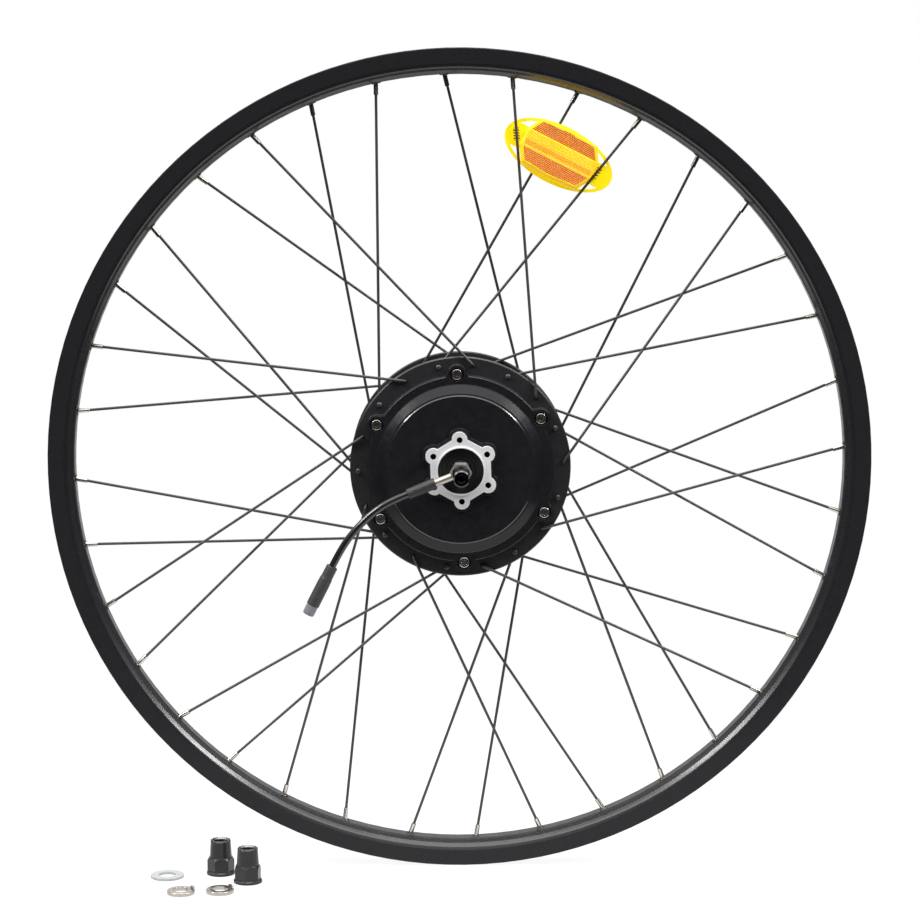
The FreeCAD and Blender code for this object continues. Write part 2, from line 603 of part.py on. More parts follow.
def make_stator():
    """The laminated core on its carrier, its coils, the sensor board and the three leads."""
    hub, drum = "stator_seat_radius+4", "core_bore-3"
    turned("stator_carrier", [
        ("stator_seat_radius", "-26"), (hub, "-26"), (hub, "-18"), (drum, "-18"), (drum, "-26"),
        ("core_bore", "-26"), ("core_bore", "-2"), (drum, "-2"), (drum, "-12"), (hub, "-12"),
        (hub, "-6"), ("stator_seat_radius", "-6")])
    middle, half = size("core_middle"), size("core_half_stack")
    low, high = middle - half, middle + half
    yoke, count = 28, SIZES["slot_count"]
    core = tube(size("core_bore"), yoke, low, high)
    limit = tube(size("core_bore"), size("core_radius"), low, high)
    teeth = []
    for turn in spread(0, count):
        half_neck, half_shoe = 2.4, 6.6
        outline = [(yoke - 1, -half_neck), (41.5, -half_neck), (43.5, -half_shoe), (48, -half_shoe),
                   (48, half_shoe), (43.5, half_shoe), (41.5, half_neck), (yoke - 1, half_neck)]
        teeth.append(about_axle(prism(outline, low, high), turn))
    made("stator_core", core.fuse(teeth).common(limit).removeSplitter())
    coils = []
    for turn in spread(0, count):
        outer = Part.makeBox(11.8, 2 * half + 8, 7.4, Vector(29.2, low - 4, -3.7))
        along = [e for e in outer.Edges if abs(e.tangentAt(e.FirstParameter).x) > 0.9]
        outer = outer.makeFillet(1.6, along)
        inner = Part.makeBox(14, 2 * half + 1, 5.2, Vector(28, low - 0.5, -2.6))
        coils.append(about_axle(outer.cut(inner), turn))
    made("stator_coils", group(coils))
    board = tube(25, 40, low - 7.2, low - 5.6)
    sector = prism([(0, 0)] + [(60 * math.cos(math.radians(a)), 60 * math.sin(math.radians(a)))
                               for a in range(60, 141, 20)], low - 8, low - 5)
    made("hall_sensor_board", board.common(sector))
    leads = []
    lead_angle, y = size("sleeve_angle"), -31.6
    for turn in (-7, 0, 7):
        inner, outer = on_circle(9.2, lead_angle + turn, y), on_circle(37, lead_angle + turn * 1.6, y)
        leads.append(rod(inner, outer, 0.9))
    made("phase_leads", group(leads))


def make_rotor():
    """The outer rotor: a steel can with magnets inside it, on a hub that carries the sun gear."""
    gap_radius = size("core_radius+air_gap")
    magnets_out = gap_radius + size("magnet_thickness")
    can_out = magnets_out + size("can_thickness")
    turned("rotor_can", [
        (f"{magnets_out}", "-27"), (f"{can_out}", "-27"), (f"{can_out}", "7"), (f"{can_out - 1}", "8"),
        ("axle_seat_radius+4.5", "8"), ("axle_seat_radius+4.5", "0"), ("16", "0"), ("16", "4.5"),
        ("40", "4.5"), (f"{magnets_out}", "4.5")])
    count = SIZES["magnet_count"]
    half = 360 / count / 2 - 0.6
    magnets = []
    for turn in spread(0, count):
        arc = [math.radians(-half + half * i / 3) for i in range(7)]
        outline = [(60 * math.cos(a), 60 * math.sin(a)) for a in arc] + [(0, 0)]
        magnets.append(about_axle(prism(outline, -26, -2), turn))
    shell = tube(gap_radius, magnets_out, -26, -2)
    made("rotor_magnets", group([shell.common(m) for m in magnets]))


def involute(base, radius):
    """The angle, in radians, that an involute has turned through at a radius."""
    if radius <= base:
        return 0.0
    return math.sqrt((radius / base) ** 2 - 1) - math.acos(base / radius)


def gear_outline(teeth, bottom, top, slack):
    """Points round a gear whose first tooth points along +X. Slack thins each tooth at its pitch."""
    module = size("gear_module")
    pitch = module * teeth / 2
    base = pitch * math.cos(math.radians(20))
    half_pitch = math.pi / 2 / teeth - slack / 2 / pitch
    steps = 4
    start = max(bottom, base)
    flank = [(r, half_pitch + involute(base, pitch) - involute(base, r))
             for r in (start + (top - start) * i / steps for i in range(steps + 1))]
    if bottom < base:
        flank.insert(0, (bottom, flank[0][1]))
    points = []
    for tooth in range(teeth):
        centre = 2 * math.pi * tooth / teeth
        side = [(r, centre - a) for r, a in flank] + [(r, centre + a) for r, a in reversed(flank)]
        points += [(r * math.cos(a), r * math.sin(a)) for r, a in side]
    return points


def planet_places():
    """The angles of the planets round the axle."""
    return spread(90, SIZES["planet_count"])


def make_gears():
    """Sun, planets and ring: the planets turn on fixed pins and the ring drives the shell."""
    module, slack = size("gear_module"), size("gear_backlash")
    low, high = size("gear_start"), size("gear_start+gear_width")
    bush_out, back = 7.2, size("clutch_back")

    def external(teeth, start, stop):
        """A spur gear between two heights along Y."""
        pitch = module * teeth / 2
        return prism(gear_outline(teeth, pitch - 1.25 * module, pitch + module, slack), start, stop)

    sun = external(SIZES["sun_teeth"], low - 1.6, high)
    sun = sun.fuse(tube(bush_out, 16, low - 1.6, low - 0.4)).cut(
        Part.makeCylinder(bush_out, 30, Vector(0, low - 5, 0), AXLE))
    made("sun_gear", sun)
    ring("sun_bush", "axle_radius+0.05", f"{bush_out}", "gear_start", "gear_start+gear_width")
    distance = module * (SIZES["sun_teeth"] + SIZES["planet_teeth"]) / 2
    bore, pin = size("planet_bore"), size("planet_pin_radius")
    pins, bushes, washers = [], [], []
    for number, turn in enumerate(planet_places(), start=1):
        centre = on_circle(distance, turn)
        gear = about_axle(external(SIZES["planet_teeth"], low, high), turn + 180)
        gear.translate(centre)
        hole = Part.makeCylinder(bore, 30, centre + Vector(0, low - 5, 0), AXLE)
        made(f"planet_gear_{number}", gear.cut(hole))
        bush = tube(pin, bore - 0.05, low, high)
        bush.translate(centre)
        bushes.append(bush)
        pins.append(Part.makeCylinder(pin, high - low + 4, centre + Vector(0, low - 0.3, 0), AXLE))
        washer = tube(pin, 7, high + 0.1, high + 0.6)
        washer.translate(centre)
        washers.append(washer)
    made("planet_pins", group(pins))
    made("planet_bushes", group(bushes))
    made("planet_thrust_washers", group(washers))
    ring_pitch = module * SIZES["ring_teeth"] / 2
    space = gear_outline(SIZES["ring_teeth"], ring_pitch - module, ring_pitch + 1.25 * module, -slack)
    body = Part.makeCylinder(size("shell_bore"), size("gear_width") + 1, Vector(0, low - 0.5, 0), AXLE)
    turn_half = 180 / SIZES["ring_teeth"]
    made("ring_gear", body.cut(about_axle(prism(space, low - 2, high + 2), turn_half)))
    race, rollers, bowl = 8.6, 8, 13
    plate = tube(bowl, 39, high + 0.6, high + 3.7).fuse(tube(bowl, 17.5, high + 0.6, back))
    for turn in planet_places():
        plate = plate.cut(Part.makeCylinder(pin, 10, on_circle(distance, turn, high), AXLE))
        window = Part.makeCylinder(9.5, 10, on_circle(distance - 3, turn + 60, high), AXLE)
        plate = plate.cut(window)
    made("planet_carrier", plate.removeSplitter())
    made("clutch_inner_race", tube(size("axle_radius"), race, high + 0.6, back))
    roller = (bowl - race) / 2
    made("clutch_rollers", group([
        Part.makeCylinder(roller - 0.02, 5.6, on_circle(race + roller, turn, high + 1.2), AXLE)
        for turn in spread(15, rollers)]))


# ---------------------------------------------------------------- cable


CABLE_CORNERS = [(-62.0, -28.2), (-73.5, -39.2), (-83.8, -52.4), (-91.0, -66.6)]


def make_cable():
    """The metal sleeve, the boot, the free cable and its connector, all in one plane off the hub."""
    y = -size("sleeve_depth")
    angle = size("sleeve_angle")
    out = on_circle(1, angle)
    sleeve = rod(on_circle(size("axle_radius"), angle, y), on_circle(size("sleeve_tip"), angle, y),
                 size("sleeve_radius"))
    core = Part.makeCylinder(size("axle_radius"), 20, Vector(0, y - 10, 0), AXLE)
    bore = rod(on_circle(0, angle, y), on_circle(30, angle, y), size("sleeve_radius") - 0.7)
    made("cable_sleeve", sleeve.cut(core).cut(bore))
    base = on_circle(size("sleeve_tip"), angle, y)
    length = size("boot_tip-sleeve_tip")
    boot = Part.makeCone(size("boot_radius"), size("boot_radius") - 0.3, length - 4, base, out)
    nose = Part.makeCone(size("boot_radius") - 0.3, size("cable_radius") + 0.4, 4,
                         base + out * (length - 4), out)
    made("strain_relief_boot", boot.fuse(nose).removeSplitter())
    corners = [on_circle(size("boot_tip") + ahead, angle, y) for ahead in (0, 13)]
    corners += [Vector(x, y, z) for x, z in CABLE_CORNERS]
    path, radii = rounded_path(corners)
    print("cable radii", [round(r, 1) for r in radii], "length", round(path.Length, 1))
    radius = size("cable_radius")
    section = Part.Wire(Part.makeCircle(radius, corners[0], corners[1] - corners[0]))
    cable = path.makePipeShell([section], True, False)
    if abs(cable.Volume / (math.pi * radius ** 2 * path.Length) - 1) > 0.01:
        raise RuntimeError("the cable's volume isn't its section times its length")
    made("motor_cable", cable)
    start = corners[-1]
    along = (corners[-1] - corners[-2]).normalize()
    neck = Part.makeCone(4.1, 4.15, 3, start, along)
    steps = [(4.15, 4.2, 3, 9), (4.5, 4.65, 9, 24), (4.65, 4.7, 24, 31)]
    shell = neck.fuse([Part.makeCone(a, b, high - low, start + along * low, along)
                       for a, b, low, high in steps])
    made("connector_body", shell.removeSplitter())
    tip = start + along * steps[-1][3]
    nose = Part.makeCylinder(4.25, 7.6, tip, along).cut(Part.makeCylinder(3.1, 8, tip + along * 1.6, along))
    made("connector_nose", nose)
    pins = [Part.makeCylinder(0.4, 4.5, tip + along * 1.6 + Vector(0, 1.8 * math.sin(t), 0)
                              + along.cross(AXLE) * (1.8 * math.cos(t)), along)
            for t in (math.radians(72 * i) for i in range(5))]
    made("connector_pins", group(pins))


def rounded_path(corners):
    """Straight runs joined by arcs as large as the shorter run at each corner allows."""
    edges, radii = [], []
    here = corners[0]
    for before, corner, after in zip(corners, corners[1:], corners[2:]):
        into, away = (corner - before).normalize(), (after - corner).normalize()
        shorter = min((corner - before).Length, (after - corner).Length)
        turn = into.getAngle(away)
        back = 0.45 * shorter
        radius = back / math.tan(turn / 2)
        first, last = corner - into * back, corner + away * back
        middle = corner + (away - into).normalize() * (radius / math.cos(turn / 2) - radius)
        edges += [Part.LineSegment(here, first).toShape(), Part.Arc(first, middle, last).toShape()]
        radii.append(radius)
        here = last
    edges.append(Part.LineSegment(here, corners[-1]).toShape())
    return Part.Wire(edges), radii


# ---------------------------------------------------------------- reflector and loose hardware


def reflector_place():
    """The reflector's own frame: X along its length, Z out of its lens, leaning with the spokes."""
    centre = Vector(size("reflector_x"), -size("reflector_middle"), size("reflector_z"))
    turn = math.radians(size("reflector_turn"))
    along = Vector(math.cos(turn), 0, math.sin(turn))
    out = Vector(0, -1, 0)
    facing = Rotation(along, out.cross(along), out, "ZXY")
    radial = Vector(centre.x, 0, centre.z).normalize()
    lean = Rotation(radial.cross(AXLE), size("reflector_lean"))
    return Placement(centre, lean * facing)


def octagon(half_length, half_height):
    """The lens outline: long sides slightly bowed, corners cut back at both ends."""
    a, b = half_length, half_height
    points = [(a, 0.32 * b), (0.76 * a, 0.92 * b), (0, b), (-0.76 * a, 0.92 * b), (-a, 0.32 * b),
              (-a, -0.32 * b), (-0.76 * a, -0.92 * b), (0, -b), (0.76 * a, -0.92 * b), (a, -0.32 * b)]
    return Part.Face(Part.makePolygon([Vector(x, y, 0) for x, y in points + points[:1]]))


def oval_face(a, b):
    """A flat ellipse with those half axes."""
    return Part.Face(Part.Wire(Part.Ellipse(Vector(0, 0, 0), a, b).toShape()))


def make_reflector():
    """An oval backing plate behind the spokes, a raised lens in front and a clip at each end.

    The plate has a window at each cut corner of the lens, and the two near spokes lie in open slots.
    """
    a, b = size("reflector_length/2"), size("reflector_height/2")
    lens_a, lens_b = size("lens_half_length"), size("lens_half_height")
    backing = oval_face(a, b)
    windows = oval_face(a - 3, b - 2).cut([
        octagon(lens_a, lens_b), Part.makePlane(2 * a, 17, Vector(-a, -8.5, 0)),
        Part.makePlane(1.4 * lens_a, 2 * b, Vector(-0.7 * lens_a, -b, 0))])
    backing = backing.cut(windows).extrude(Vector(0, 0, size("plate_thickness")))
    backing.translate(Vector(0, 0, -size("plate_back")))
    depth, foot = size("lens_depth"), Vector(0, 0, -size("lens_back"))
    lens = octagon(lens_a, lens_b).extrude(Vector(0, 0, depth))
    lens.translate(foot)
    lens = lens.makeChamfer(1.6, [e for e in lens.Edges if e.CenterOfMass.z > foot.z + depth - 0.1])
    back = reflector_place().inverse()
    room = size("spoke_radius") + 0.25
    for index in (1, 2, 3):
        start, end = (back.multVec(p) for p in spoke_line(index)[1:])
        way = rod(start, end, room)
        if index != 2:
            across = Vector(0, 0, 1).cross(end - start).normalize() * room
            sides = [start - across, end - across, end + across, start + across, start - across]
            way = way.fuse(Part.Face(Part.makePolygon(sides)).extrude(Vector(0, 0, 1.5 * depth)))
        lens = lens.cut(way)
    made("reflector_backing", backing, reflector_place())
    made("reflector_lens", lens, reflector_place())
    clips = []
    for index, side in ((1, -1), (3, 1)):
        corner, tip = (back.multVec(p) for p in spoke_line(index)[1:])
        along = (tip - corner).normalize()
        middle = corner + along * ((Vector(side * 34, 0, 0) - corner).dot(along))
        block = Part.makeBox(8, 4.4, 1.6, Vector(-4, -2.2, 0))
        block.rotate(Vector(0, 0, 0), Vector(0, 0, 1), math.degrees(math.atan2(along.y, along.x)))
        block.translate(Vector(middle.x, middle.y, 0) + foot)
        clips.append(block.cut(rod(corner, tip, size("spoke_radius"))).cut(lens))
    made("reflector_clips", group(clips), reflector_place())


def make_loose_hardware():
    """Two flanged axle nuts, two tab washers and a plain washer, standing level with the rim's foot."""
    floor, up, origin = -size("rim_edge_radius"), Vector(0, 0, 1), Vector(0, 0, 0)
    nut, washer = make_nut(up, origin), make_tab_washer(up, origin)
    plain = tube_up(size("washer_bore_radius"), size("washer_radius"), 0, 1.6)
    places = (("axle_nut_disc_side", nut, -174.6, -31.7, 8), ("axle_nut_drive_side", nut, -153.4, -54, 22),
              ("plain_washer", plain, -212.8, -40.5, 0), ("tab_washer_disc_side", washer, -199, -82.5, 25),
              ("tab_washer_drive_side", washer, -171.5, -80.3, 32))
    for label, shape, x, y, turn in places:
        made(label, shape, Placement(Vector(x, y, floor), Rotation(up, turn)))


def make_nut(up, origin):
    """A flanged nut: a hexagon whose corners are cut to a cone, and a round neck with a notched top."""
    corner, tall = size("nut_flats") / math.sqrt(3), size("nut_hexagon_height")
    height, bore, flange = size("nut_height"), size("nut_bore_radius"), size("nut_flange_radius")
    corners = [Vector(corner * math.cos(turn), corner * math.sin(turn), 0)
               for turn in (math.radians(60 * i) for i in range(7))]
    hexagonal = Part.Face(Part.makePolygon(corners)).extrude(up * tall)
    hexagonal = hexagonal.common(Part.makeCone(15.6, 8.4, tall, origin, up))
    neck = Part.makeCone(8.0, 7.2, height - tall + 0.2, up * (tall - 0.2), up)
    nut = Part.makeCylinder(flange, 1.5, origin, up).fuse([
        Part.makeCone(flange, flange - 1, 0.9, up * 1.5, up), hexagonal, neck])
    bevel = 1.2
    nut = nut.removeSplitter().cut(Part.makeCylinder(bore, 40, -up, up))
    nut = nut.cut(Part.makeCone(bore, bore + bevel, bevel, up * (height - bevel), up))
    nut = nut.cut(Part.makeCone(bore + bevel, bore, bevel, origin, up))
    for i in range(6):
        notch = Part.makeBox(20, 3.0, 2, Vector(-10, -1.5, height - 1.1))
        notch.rotate(origin, up, 30 * i)
        nut = nut.cut(notch.common(tube_up(bore + 1.4, 9, height - 1.3, height + 0.7)))
    return nut


def make_tab_washer(up, origin):
    """A round washer with a slotted hole for the axle's flats and a tab that stands up at its edge."""
    flat, radius, thickness = size("axle_flat") + 0.1, size("tab_washer_radius"), 2.5
    hole = Part.makeCylinder(size("axle_radius") + 0.15, 6, -up, up).common(
        Part.makeBox(2 * flat, 20, 6, Vector(-flat, -10, -1)))
    tab = Part.makeBox(1.8, 5.4, 3.9, Vector(radius - 1.8, -2.7, 0)).common(
        Part.makeCylinder(radius, 6, origin, up))
    disc = Part.makeCylinder(radius, thickness, origin, up)
    disc = disc.makeFillet(0.5, [e for e in disc.Edges if e.Closed and e.CenterOfMass.z > thickness - 0.1])
    return disc.fuse(tab).removeSplitter().cut(hole)


def tube_up(inner, outer, low, high):
    """A ring whose axis is vertical."""
    up = Vector(0, 0, 1)
    body = Part.makeCylinder(outer, high - low, up * low, up)
    return body.cut(Part.makeCylinder(inner, high - low, up * low, up))


# ---------------------------------------------------------------- the whole


def main():
    """Makes every sub-part, checks the document and writes the STEP files."""
    make_rim()
    make_lacing()
    make_shell()
    make_cover()
    make_gasket()
    make_cover_screws()
    make_axle()
    make_axle_stack()
    make_bearings()
    make_stator()
    make_rotor()
    make_gears()
    make_cable()
    make_reflector()
    make_loose_hardware()
    doc.recompute()
    broken = [o.Name for o in doc.Objects if {"Invalid", "Error"} & set(o.State)]
    if broken:
        raise RuntimeError(f"objects with errors: {broken}")
    os.makedirs("parts", exist_ok=True)
    for label, thing in PARTS.items():
        shape = thing.Shape
        if shape.isNull() or not shape.isValid():
            raise RuntimeError(f"{label} has no valid shape")
        shape.exportStep(os.path.join("parts", f"{label}.step"))
    print(len(PARTS), "sub-parts")


main()
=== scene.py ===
import math

import bmesh
import bpy
from mathutils import Matrix, Vector, noise


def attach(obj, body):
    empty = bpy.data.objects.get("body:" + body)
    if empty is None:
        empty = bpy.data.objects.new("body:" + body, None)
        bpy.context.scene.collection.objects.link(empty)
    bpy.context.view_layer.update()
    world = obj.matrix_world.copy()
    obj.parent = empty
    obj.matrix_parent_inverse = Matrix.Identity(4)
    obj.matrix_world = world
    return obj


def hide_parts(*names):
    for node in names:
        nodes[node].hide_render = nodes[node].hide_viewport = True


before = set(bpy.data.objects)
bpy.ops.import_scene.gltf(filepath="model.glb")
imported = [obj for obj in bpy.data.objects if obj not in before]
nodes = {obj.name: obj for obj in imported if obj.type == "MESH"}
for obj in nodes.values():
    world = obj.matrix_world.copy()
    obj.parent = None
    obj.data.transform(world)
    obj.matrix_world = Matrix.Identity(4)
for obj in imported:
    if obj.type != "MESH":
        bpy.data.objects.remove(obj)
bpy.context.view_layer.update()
scene = bpy.context.scene
MM = 0.001
AXLE = Vector((0, 1, 0))

# ---------------------------------------------------------------- camera and cable

camera = bpy.data.objects.new("camera", bpy.data.cameras.new("camera"))
camera.data.lens = 103.6
camera.data.sensor_width = 36
camera.location = (-0.0198, -1.9120, 0.2392)
camera.rotation_euler = (math.radians(90 - 7.09), 0, math.radians(-0.593))
scene.collection.objects.link(camera)
scene.camera = camera

CABLE_DEPTH = -62.5
CABLE_RADIUS = 2.6
CABLE_ROUTE = [(-37.55, -15.17), (-49.60, -20.04), (-62.0, -28.2), (-73.5, -39.2), (-83.8, -52.4),
               (-91.0, -66.6)]


def cable():
    """The jacketed lead, from the tip of its boot to its connector."""
    curve = bpy.data.curves.new("motor_lead", "CURVE")
    curve.dimensions = "3D"
    curve.bevel_depth = 1
    curve.bevel_resolution = 8
    curve.resolution_u = 24
    spline = curve.splines.new("NURBS")
    spline.points.add(len(CABLE_ROUTE) - 1)
    for point, (x, z) in zip(spline.points, CABLE_ROUTE):
        point.co = (x * MM, CABLE_DEPTH * MM, z * MM, 1)
        point.radius = CABLE_RADIUS * MM
    spline.order_u = 3
    spline.use_endpoint_u = True
    lead = bpy.data.objects.new("motor_lead", curve)
    scene.collection.objects.link(lead)
    return lead


WRINKLE_SCALE = 0.9
SHARP = math.radians(38)


def lathe(name, start, along, profile, wrinkle=0.0, segments=48):
    """A piece turned round a line, from (distance, radius) pairs in mm, with a wrinkled skin if asked."""
    side = along.cross(AXLE).normalized()
    other = along.cross(side)
    bm = bmesh.new()
    rings = []
    for distance, radius in profile:
        middle = start + along * distance
        ring = []
        for i in range(segments):
            turn = 2 * math.pi * i / segments
            way = side * math.cos(turn) + other * math.sin(turn)
            lift = wrinkle * noise.noise((middle + way * radius) * WRINKLE_SCALE)
            ring.append(bm.verts.new((middle + way * (radius + lift)) * MM))
        rings.append(ring)
    for ring, following in zip(rings, rings[1:]):
        for i in range(segments):
            j = (i + 1) % segments
            bm.faces.new((ring[i], ring[j], following[j], following[i]))
    bm.faces.new(rings[0][::-1])
    bm.faces.new(rings[-1])
    bmesh.ops.recalc_face_normals(bm, faces=bm.faces)
    mesh = bpy.data.meshes.new(name)
    bm.to_mesh(mesh)
    bm.free()
    mesh.shade_smooth()
    mesh.set_sharp_from_angle(angle=SHARP)
    piece = bpy.data.objects.new(name, mesh)
    scene.collection.objects.link(piece)
    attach(piece, "axle")
    return piece


def runs(profile, step):
    """The same profile with points added, so that no run along the line is longer than a step."""
    points = [profile[0]]
    for (d0, r0), (d1, r1) in zip(profile, profile[1:]):
        count = max(1, math.ceil(abs(d1 - d0) / step))
        points += [(d0 + (d1 - d0) * i / count, r0 + (r1 - r0) * i / count) for i in range(1, count + 1)]
    return points


SLEEVE_TURN = math.radians(202)
SLEEVE_TIP = 19.5
SLEEVE_WAY = Vector((math.cos(SLEEVE_TURN), 0, math.sin(SLEEVE_TURN)))
BOOT_START = SLEEVE_WAY * SLEEVE_TIP + Vector((0, CABLE_DEPTH, 0))
BOOT_PROFILE = [(0, 2.9), (0.05, 3.75), (0.6, 3.92), (6, 3.97), (12, 3.88), (17.5, 3.75), (20.5, 3.7),
                (20.95, 3.5), (21, 2.65)]
PLUG_START = Vector((CABLE_ROUTE[-1][0], CABLE_DEPTH, CABLE_ROUTE[-1][1]))
PLUG_WAY = (PLUG_START - Vector((CABLE_ROUTE[-2][0], CABLE_DEPTH, CABLE_ROUTE[-2][1]))).normalized()
PLUG_PROFILE = [(0.02, 2.65), (0.05, 3.9), (0.4, 4.05), (7.6, 4.1), (8.8, 4.15), (10.2, 4.45), (14, 4.58),
                (24, 4.6), (30.4, 4.62), (30.9, 4.5), (31, 3.7)]
NOSE_PROFILE = [(31, 3.5), (31, 4.18), (36.9, 4.2), (37.9, 4.08), (38.45, 3.78), (38.6, 3.4), (38.4, 3.1),
                (33.2, 2.85), (33.1, 0.2)]

lead = cable()
boot = lathe("lead_boot", BOOT_START, SLEEVE_WAY, runs(BOOT_PROFILE, 0.5), wrinkle=0.16, segments=64)
plug = lathe("plug_body", PLUG_START, PLUG_WAY, runs(PLUG_PROFILE, 0.6), wrinkle=0.05, segments=64)
nose = lathe("plug_nose", PLUG_START, PLUG_WAY, NOSE_PROFILE)
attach(lead, "axle")
for piece, node, slot in ((lead, "motor_cable", "cable_black"), (boot, "strain_relief_boot", "seal_rubber"),
                          (plug, "connector_body", "connector_black"),
                          (nose, "connector_nose", "connector_grey")):
    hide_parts(node)

# ---------------------------------------------------------------- reflector's prisms

LENS_CENTRE = Vector((70.6, -4.6, 222))
LENS_TURN = math.radians(-27)
LENS_TILT = math.radians(8.2)
LENS_FACE = 6.72
LENS_HALF = (28.5, 19.0)
# a quarter of the lens's outline, as shares of its half length and half width
LENS_CORNERS = ((1, 0.32), (0.76, 0.92), (0, 1))
BORDER = 2.2
SPOKE_ROOM = 1.9
PRISM_HEIGHT = 0.42
ROW_PITCH = 0.866
TRIM_STEP = 0.04
MOST_COLUMNS = 40
# each band of prisms: its colour, its lowest and highest edge, and the prisms' pitch
PRISM_BANDS = (("dark", 7.0, 17.5, 1.45), ("bright", 0.2, 6.6, 1.15), ("warm", -4.6, -0.2, 1.15),
               ("bright", -6.6, -5.0, 1.15), ("dark", -17.8, -7.0, 1.45))


def lens_frame():
    """From the reflector's own millimetres to the wheel's: X along it, Z out of the lens."""
    along, out = Vector((math.cos(LENS_TURN), 0, math.sin(LENS_TURN))), -AXLE
    up = out.cross(along)
    facing = Matrix((along, up, out)).transposed()
    radial = Vector((LENS_CENTRE.x, 0, LENS_CENTRE.z)).normalized()
    return Matrix.Rotation(LENS_TILT, 3, radial.cross(AXLE)) @ facing


def in_lens(x, y, margin):
    """Whether a point is inside the lens outline by a margin."""
    corners = [(u * LENS_HALF[0], v * LENS_HALF[1]) for u, v in LENS_CORNERS]
    x, y = abs(x), abs(y)
    if x > LENS_HALF[0] - margin:
        return False
    for (x0, y0), (x1, y1) in zip(corners, corners[1:]):
        across = ((x1 - x0) * (y - y0) - (y1 - y0) * (x - x0)) / math.hypot(x1 - x0, y1 - y0)
        if across < margin:
            return False
    return True


def prisms():
    """Rows of six sided prisms over the lens's face, one mesh for each colour."""
    turn = lens_frame()
    rows = {}
    for colour, low, high, pitch in PRISM_BANDS:
        bm = rows.setdefault(colour, bmesh.new())
        count = int((high - low) / (pitch * ROW_PITCH))
        for row in range(count + 1):
            y = low + pitch / 2 + row * pitch * ROW_PITCH
            if y > high:
                continue
            for column in range(-MOST_COLUMNS, MOST_COLUMNS + 1):
                x = (column + 0.5 * (row % 2)) * pitch
                if not in_lens(x, y, BORDER) or near_spoke(x, y, SPOKE_ROOM):
                    continue
                base = []
                for i in range(6):
                    reach, way = pitch / math.sqrt(3), math.radians(60 * i)
                    while not in_lens(x + reach * math.sin(way), y + reach * math.cos(way), BORDER):
                        reach -= TRIM_STEP
                    base.append(bm.verts.new(place_in(turn, x + reach * math.sin(way),
                                                      y + reach * math.cos(way), LENS_FACE)))
                top = bm.verts.new(place_in(turn, x, y, LENS_FACE + PRISM_HEIGHT))
                for i in range(6):
                    bm.faces.new((base[i], base[(i + 1) % 6], top))
    pieces = {}
    for colour, bm in rows.items():
        bmesh.ops.recalc_face_normals(bm, faces=bm.faces)
        mesh = bpy.data.meshes.new(f"prisms_{colour}")
        bm.to_mesh(mesh)
        bm.free()
        obj = bpy.data.objects.new(f"prisms_{colour}", mesh)
        scene.collection.objects.link(obj)
        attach(obj, "wheel")
        pieces[colour] = obj
    return pieces


def place_in(turn, x, y, z):
    """A point given in the reflector's own millimetres, in the wheel's metres."""
    return (turn @ Vector((x, y, z)) + LENS_CENTRE) * MM


def near_spoke(x, y, room):
    """Whether a point of the lens's face lies over one of the two slots that the near spokes lie in."""
    for (x0, y0), (x1, y1) in NEAR_SPOKES:
        run = math.hypot(x1 - x0, y1 - y0)
        if abs((x1 - x0) * (y - y0) - (y1 - y0) * (x - x0)) / run < room:
            return True
    return False


# the lacing, in mm and degrees: where the spokes leave the flange and meet the rim
FIRST_NIPPLE = 92.36
SPOKE_PITCH = 10
SPOKE_LEAN = 40
FLANGE_DEPTH = 27
HALF_FLANGE = 1.6
SPOKE_RADIUS = 1.0
INSIDE_GAP = 0.15
OUTSIDE_GAP = 0.05 + 0.055 * FLANGE_DEPTH
HOLE_CIRCLE = 73.2
NIPPLE_CIRCLE = 281.3


def spoke_in_lens(number):
    """Where one near spoke's line runs, in the reflector's own millimetres."""
    outside = number % 4 == 1
    angle = math.radians(FIRST_NIPPLE - SPOKE_PITCH * number)
    hole = angle + math.radians(-SPOKE_LEAN if outside else SPOKE_LEAN)
    stand = HALF_FLANGE + SPOKE_RADIUS + (OUTSIDE_GAP if outside else INSIDE_GAP)
    depth = -FLANGE_DEPTH + (-stand if outside else stand)
    back = lens_frame().inverted()
    ends = [Vector((HOLE_CIRCLE * math.cos(hole), depth, HOLE_CIRCLE * math.sin(hole))),
            Vector((NIPPLE_CIRCLE * math.cos(angle), 0, NIPPLE_CIRCLE * math.sin(angle)))]
    return [(back @ (end - LENS_CENTRE)).to_2d() for end in ends]


NEAR_SPOKES = [spoke_in_lens(1), spoke_in_lens(3)]
prism_pieces = prisms()

# ---------------------------------------------------------------- materials

# at this scale the wave texture repeats once in a millimetre
WAVE_SCALE = 314


